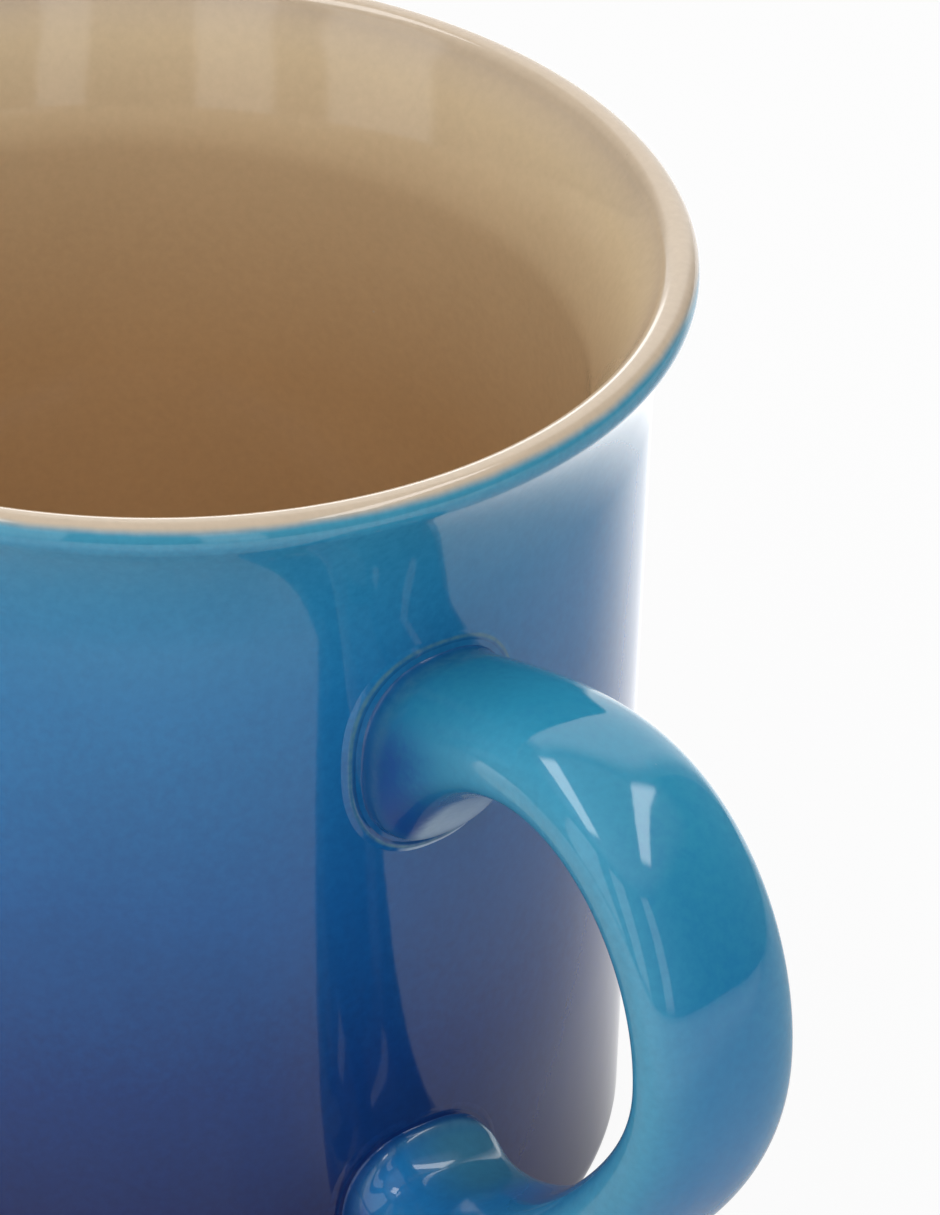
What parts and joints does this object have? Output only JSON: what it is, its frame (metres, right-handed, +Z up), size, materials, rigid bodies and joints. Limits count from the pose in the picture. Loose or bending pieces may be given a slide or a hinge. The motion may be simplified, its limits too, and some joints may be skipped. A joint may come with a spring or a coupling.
{
  "type": "soup mug",
  "caption": "Glazed stoneware soup mug with a flared rim, a near-straight round wall and a broad strap handle luted to the wall at its two roots.",
  "frame": {"origin": "centre of the standing ring, on the table plane", "axes": "+Z up along the cup's axis, +X from the axis towards the handle"},
  "size_m": [0.1508, 0.108, 0.1],
  "materials": {
    "clay": "bare fired stoneware",
    "slip": "fired luting slip",
    "beige_glaze": "glossy glaze",
    "blue_glaze": "glossy glaze, azure at the rim to deep blue at the base",
    "azure_glaze": "glossy glaze"
  },
  "bodies": {
    "root": {"cup_body": "clay", "handle": "clay", "upper_slip_joint": "slip", "lower_slip_joint": "slip", "interior_glaze": "beige_glaze", "exterior_glaze": "blue_glaze", "handle_glaze": "azure_glaze"}
  },
  "joints": []
}
